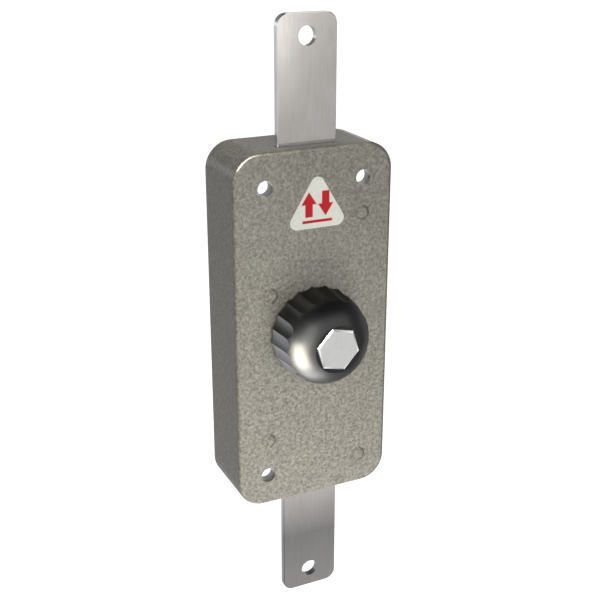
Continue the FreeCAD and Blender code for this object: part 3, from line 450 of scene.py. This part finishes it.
def nylon():
    """Natural nylon: milky, waxy, a little translucent."""
    material, shader = shade("nylon", (0.62, 0.58, 0.48), 0.0, 0.45)
    shader.inputs["Subsurface Weight"].default_value = 0.15
    shader.inputs["Subsurface Scale"].default_value = 0.002
    cloud = noise(material, place_texture(material), NYLON_GRAINS, 3.0)
    tone = ramp(material, cloud, "Fac", [(0.3, (0.58, 0.54, 0.44)), (0.7, (0.66, 0.62, 0.52))])
    join(material, (tone, "Color"), (shader, "Base Color"))
    spread(material, cloud, "Fac", 0.38, 0.52, shader, "Roughness")
    bump(material, cloud, "Fac", NYLON_DEPTH, 0.3, shader)
    return material


def film(name, colour, roughness):
    """Printed or plain sticker film, a little uneven."""
    material, shader = shade(name, colour, 0.0, roughness)
    shader.inputs["Specular IOR Level"].default_value = 0.12
    mottle = noise(material, place_texture(material), FILM_GRAINS, 3.0)
    dark = tuple(0.93 * part for part in colour)
    tone = ramp(material, mottle, "Fac", [(0.3, dark), (0.7, colour)])
    join(material, (tone, "Color"), (shader, "Base Color"))
    spread(material, mottle, "Fac", roughness - 0.06, roughness + 0.06, shader, "Roughness")
    bump(material, mottle, "Fac", FINE_DEPTH, 0.2, shader)
    return material


def dress(material, *names):
    """Give CAD nodes a material in their own slots."""
    for name in names:
        mesh = nodes[name].data
        for number in range(len(mesh.materials)):
            mesh.materials[number] = material


def light(name, place, target, size, power, colour, skips=None, only=()):
    """Hang a soft box that looks at a point.

    One kind of ray may skip it, and it may light some nodes only.
    """
    data = bpy.data.lights.new(name, "AREA")
    data.shape = "RECTANGLE"
    data.size, data.size_y = size
    data.energy = power
    data.color = colour
    lamp = bpy.data.objects.new(name, data)
    lamp.location = place
    lamp.rotation_mode = "QUATERNION"
    lamp.rotation_quaternion = (Vector(target) - Vector(place)).to_track_quat("-Z", "Y")
    lamp.visible_camera = False
    if skips:
        setattr(lamp, "visible_" + skips, False)
    if only:
        group = bpy.data.collections.new(name + "_lit")
        for lit in only:
            group.objects.link(nodes[lit])
        lamp.light_linking.receiver_collection = group
    bpy.context.scene.collection.objects.link(lamp)


def light_all():
    """Light the whole object softly; gloss doesn't show these lamps."""
    light("key", (0.0, -0.55, -0.55), FRONT_MIDDLE, (0.25, 0.25), 4.2, DAYLIGHT, "glossy")
    light("fill", (0.15, -1.0, 0.15), FRONT_MIDDLE, (0.9, 0.9), 9.5, DAYLIGHT, "glossy")
    light("top", (0.0, 0.35, 0.9), CASE_TOP, (0.6, 0.6), 10.0, WHITE, "glossy")


def light_knob():
    """Light the knob's flutes, and give the knob its gleams."""
    lit = ("knob",)
    light("flutes", (-0.50, -0.12, -0.66), KNOB_MIDDLE, (0.35, 0.35), 105.0, WHITE, "glossy", lit)
    light("gleam", (-0.62, -0.25, -0.40), KNOB_SHOULDER, (0.50, 0.74), 185.0, AMBER, "diffuse", lit)
    light("under", (-0.18, -0.12, -0.64), KNOB_MIDDLE, (0.5, 0.5), 18.0, CREAM, "diffuse", lit)
    light("brow", (0.10, -0.85, 0.55), KNOB_MIDDLE, (2.0, 0.7), 27.0, WHITE, "diffuse", lit)
    light("glow", (-0.58, -0.62, 0.22), KNOB_MIDDLE, (0.45, 0.80), 22.0, LEAF, "diffuse", lit)
    light("flank", (0.95, 0.10, -0.30), KNOB_MIDDLE, (0.5, 0.8), 0.9, WHITE, "diffuse", lit)


def light_case():
    """Put the gleams on the case's top left corner and top edge, and one on the hexagon cap."""
    light("corner", (-0.65, -0.50, 0.82), TOP_LEFT_CORNER, (0.7, 0.5), 80.0, AMBER, "diffuse",
          ("case", "hex_cap"))
    light("crest", (-0.14, -0.37, 0.98), TOP_EDGE, (0.6, 0.4), 24.0, AMBER, "diffuse", ("case",))
    light("ridge", (0.20, -0.42, 0.90), TOP_EDGE, (0.20, 0.30), 3.2, AMBER, "diffuse", ("case",))


def light_bars():
    """Give the bars something to reflect: in front, overhead, at the left and behind."""
    upper = ("upper_bar",)
    light("window", (0.28, -1.05, 0.10), UPPER_BAR_MIDDLE, (0.24, 0.30), 1.2, ROSE, "diffuse", upper)
    light("ceiling", (0.43, -0.10, 1.05), UPPER_BAR_MIDDLE, (0.5, 0.5), 1.4, WHITE, "diffuse", upper)
    light("strip", (-1.0, -0.4, 0.05), BARS_MIDDLE, (0.3, 0.7), 0.7, ICE, "diffuse", BARS)
    light("sides", (-0.50, 1.0, -0.05), BARS_MIDDLE, (0.3, 0.9), 0.10, ICE, "diffuse", BARS)


def light_holes():
    """Brighten the sleeves inside the fixing holes."""
    light("holes", (-0.45, -0.95, 0.35), HOLES_MIDDLE, (0.7, 0.6), 92.0, WHITE, only=SLEEVES)


def make_sky():
    """Light the studio from all round: pale in front and low down, dim overhead and higher up behind."""
    world = bpy.data.worlds.new("studio")
    world.use_nodes = True
    bpy.context.scene.world = world
    background = world.node_tree.nodes["Background"]
    background.inputs["Strength"].default_value = 1.0
    spot = split(world, add(world, "TexCoord"), "Generated")
    front = reckon(world, "MULTIPLY_ADD", (spot, "Y"), -0.5, 0.5)
    rise = ramp(world, spot, "Z", [(0.0, grey(1.0)), (0.5, grey(0.9)), (0.85, grey(0.12))])
    turn = ramp(world, front, "Value", [(0.35, grey(0.25)), (0.8, grey(1.0))])
    shaded = tint(world, (rise, "Color"), (turn, "Color"))
    rim = ramp(world, spot, "Z", [(0.11, grey(0.9)), (0.22, grey(0.0))])
    sky = add(world, "Mix", data_type="RGBA", blend_type="LIGHTEN")
    sky.inputs["Factor"].default_value = 1.0
    join(world, (shaded, MIXED_COLOUR), (sky, FIRST_COLOUR), (rim, "Color"), (sky, SECOND_COLOUR))
    join(world, (sky, MIXED_COLOUR), (background, "Color"))


def make_camera():
    """Stand the camera where the photograph was taken from."""
    data = bpy.data.cameras.new("camera")
    data.lens = FOCAL_LENGTH
    data.sensor_width = SENSOR_WIDTH
    data.clip_start = NEAREST_SEEN
    data.clip_end = FARTHEST_SEEN
    camera = bpy.data.objects.new("camera", data)
    yaw = math.radians(CAMERA_YAW)
    tilt = math.radians(CAMERA_TILT)
    look = Vector((-math.sin(yaw) * math.cos(tilt), math.cos(yaw) * math.cos(tilt), -math.sin(tilt)))
    camera.location = CAMERA_PLACE
    camera.rotation_mode = "QUATERNION"
    camera.rotation_quaternion = look.to_track_quat("-Z", "Y")
    bpy.context.scene.collection.objects.link(camera)
    bpy.context.scene.camera = camera


def lay(name, height, material):
    """Lay a wide flat sheet of the studio."""
    size = FLOOR_HALF_WIDTH
    mesh = bpy.data.meshes.new(name)
    corners = [(-size, -size, 0), (size, -size, 0), (size, size, 0), (-size, size, 0)]
    mesh.from_pydata(corners, [], [(0, 1, 2, 3)])
    mesh.materials.append(material)
    sheet = bpy.data.objects.new(name, mesh)
    sheet.location.z = height
    bpy.context.scene.collection.objects.link(sheet)
    return sheet


def hang_backdrop(material):
    """Hang a plain pale backdrop all round the studio."""
    form = bmesh.new()
    bmesh.ops.create_icosphere(form, subdivisions=BACKDROP_SUBDIVISIONS, radius=BACKDROP_RADIUS)
    mesh = bpy.data.meshes.new("backdrop")
    form.to_mesh(mesh)
    form.free()
    mesh.materials.append(material)
    backdrop = bpy.data.objects.new("backdrop", mesh)
    bpy.context.scene.collection.objects.link(backdrop)
    return backdrop


def make_surroundings():
    """Lay the plain pale floor and hang the backdrop, for the camera alone."""
    pale, shader = shade("floor", (0.5, 0.5, 0.5), 0.0, 0.9)
    shader.inputs["Emission Color"].default_value = (1, 1, 1, 1)
    shader.inputs["Emission Strength"].default_value = PALE_GLOW
    for sheet in (lay("floor", FLOOR_HEIGHT, pale), hang_backdrop(pale)):
        sheet.visible_diffuse = False
        sheet.visible_glossy = False
        sheet.visible_shadow = False


def lay_card():
    """Lay a glowing card under the floor, hidden from the camera and paler or dimmer round the compass."""
    material, shader = shade("card", (0.5, 0.5, 0.5), 0.0, 0.9)
    shader.inputs["Emission Strength"].default_value = 1.0
    spot = split(material, place_texture(material))
    angle = add(material, "Math", operation="ARCTAN2")
    join(material, (spot, "Y"), (angle, 0), (spot, "X"), (angle, 1))
    turn = reckon(material, "MULTIPLY_ADD", (angle, "Value"), 0.5 / math.pi, 0.5)
    pool = ramp(material, turn, "Value", [
        (0.185, grey(0.3)), (0.235, grey(0.97)), (0.41, grey(0.97)), (0.46, grey(0.05)), (0.54, grey(0.05)),
        (0.59, grey(0.2)), (0.765, grey(0.2)), (0.815, grey(0.37))])
    join(material, (pool, "Color"), (shader, "Emission Color"))
    lay("card", FLOOR_HEIGHT - CARD_DROP, material).visible_camera = False


def make_studio():
    """Lay out the studio, light it from all round and hang the soft boxes."""
    make_surroundings()
    lay_card()
    make_sky()
    bpy.context.scene.view_settings.view_transform = "Standard"
    light_all()
    light_knob()
    light_case()
    light_bars()
    light_holes()


def finish_piece(name, form, material, smooth=False):
    """Turn a form into a piece that stays with the case."""
    bmesh.ops.recalc_face_normals(form, faces=form.faces)
    for face in form.faces:
        face.smooth = smooth
    mesh = bpy.data.meshes.new(name)
    form.to_mesh(mesh)
    form.free()
    mesh.materials.append(material)
    piece = bpy.data.objects.new(name, mesh)
    bpy.context.scene.collection.objects.link(piece)
    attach(piece, "lock_case")


def arrow_outline():
    """Return the outline of an arrow that stands on the origin and points up."""
    half_head = HALF_HEAD * MILLIMETRE
    half_stem = HALF_STEM * MILLIMETRE
    length = ARROW_LENGTH * MILLIMETRE
    shoulder = length - ARROW_HEAD * MILLIMETRE
    return [(-half_stem, 0), (half_stem, 0), (half_stem, shoulder), (half_head, shoulder),
            (0, length), (-half_head, shoulder), (-half_stem, shoulder)]


def make_print():
    """Print the bolts' two travel arrows and a plain rule on the sticker, in red."""
    low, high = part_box("front_label")
    middle = (low[0] + high[0]) / 2
    back = low[1] + PRINT_SUNK * MILLIMETRE
    foot = low[2] + ARROW_LIFT * MILLIMETRE
    rule_foot = low[2] + RULE_LIFT * MILLIMETRE
    length = ARROW_LENGTH * MILLIMETRE
    apart = ARROW_OFFSET * MILLIMETRE
    half_rule = HALF_RULE * MILLIMETRE
    arrow = arrow_outline()
    rule = [(-half_rule, 0), (half_rule, 0), (half_rule, RULE_WIDTH * MILLIMETRE),
            (-half_rule, RULE_WIDTH * MILLIMETRE)]
    red = film("label_red", (0.25, 0.003, 0.007), 0.42)
    shapes = {
        "label_arrow_up": [(middle - apart + x, foot + z) for x, z in arrow],
        "label_arrow_down": [(middle + apart - x, foot + length - z) for x, z in arrow],
        "label_rule": [(middle + x, rule_foot + z) for x, z in rule],
    }
    for name, outline in shapes.items():
        form = bmesh.new()
        face = form.faces.new([form.verts.new((x, back, z)) for x, z in outline])
        raised = bmesh.ops.extrude_face_region(form, geom=[face])
        moved = [item for item in raised["geom"] if isinstance(item, bmesh.types.BMVert)]
        bmesh.ops.translate(form, vec=(0, -PRINT_THICKNESS * MILLIMETRE, 0), verts=moved)
        finish_piece(name, form, red)


def make_beads(paint):
    """Let the paint run in a soft bead round each riveted head on the front."""
    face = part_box("case")[0][1]
    corners = len(BEAD_SECTION)
    for name in RIVETS:
        low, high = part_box(name)
        centre = (low + high) / 2
        form = bmesh.new()
        loops = []
        for step in range(BEAD_STEPS):
            turn = 2 * math.pi * step / BEAD_STEPS
            loops.append([form.verts.new((
                centre.x + radius * MILLIMETRE * math.cos(turn), face + depth * MILLIMETRE,
                centre.z + radius * MILLIMETRE * math.sin(turn))) for radius, depth in BEAD_SECTION])
        for step, loop in enumerate(loops):
            after = loops[(step + 1) % BEAD_STEPS]
            for number in range(corners):
                following = (number + 1) % corners
                form.faces.new((loop[number], after[number], after[following], loop[following]))
        bead = "paint_bead_" + name.removeprefix("pillar_")
        finish_piece(bead, form, paint, smooth=True)


def dress_nodes(enamel):
    """Give every CAD node its material."""
    dress(enamel, "case", *RIVETS)
    dress(bar_steel(), *BARS)
    dress(black_plastic(), "knob")
    dress(cap_metal(), "hex_cap")
    dress(film("label_film", (0.345, 0.352, 0.322), 0.4), "front_label")
    dress(plated("zinc_steel", 0.60, 0.01, (0.28, 0.45), 350.0),
          "back_plate", *BACK_SCREWS, "spring_stop_pin", "knob_washer", "knob_screw")
    dress(bright_steel(), *SLEEVES)
    dress(plated("machined_steel", 0.50, 0.02, (0.25, 0.4), 1200.0), "pinion_shaft", "detent_cam")
    dress(plated("spring_steel", 0.24, -0.04, (0.2, 0.34), 1500.0), "cam_circlip", "detent_spring")
    dress(nylon(), "front_bush", "rear_bush", "upper_guide", "lower_guide")


make_camera()
make_studio()
make_print()
enamel = hammered_paint()
make_beads(enamel)
dress_nodes(enamel)
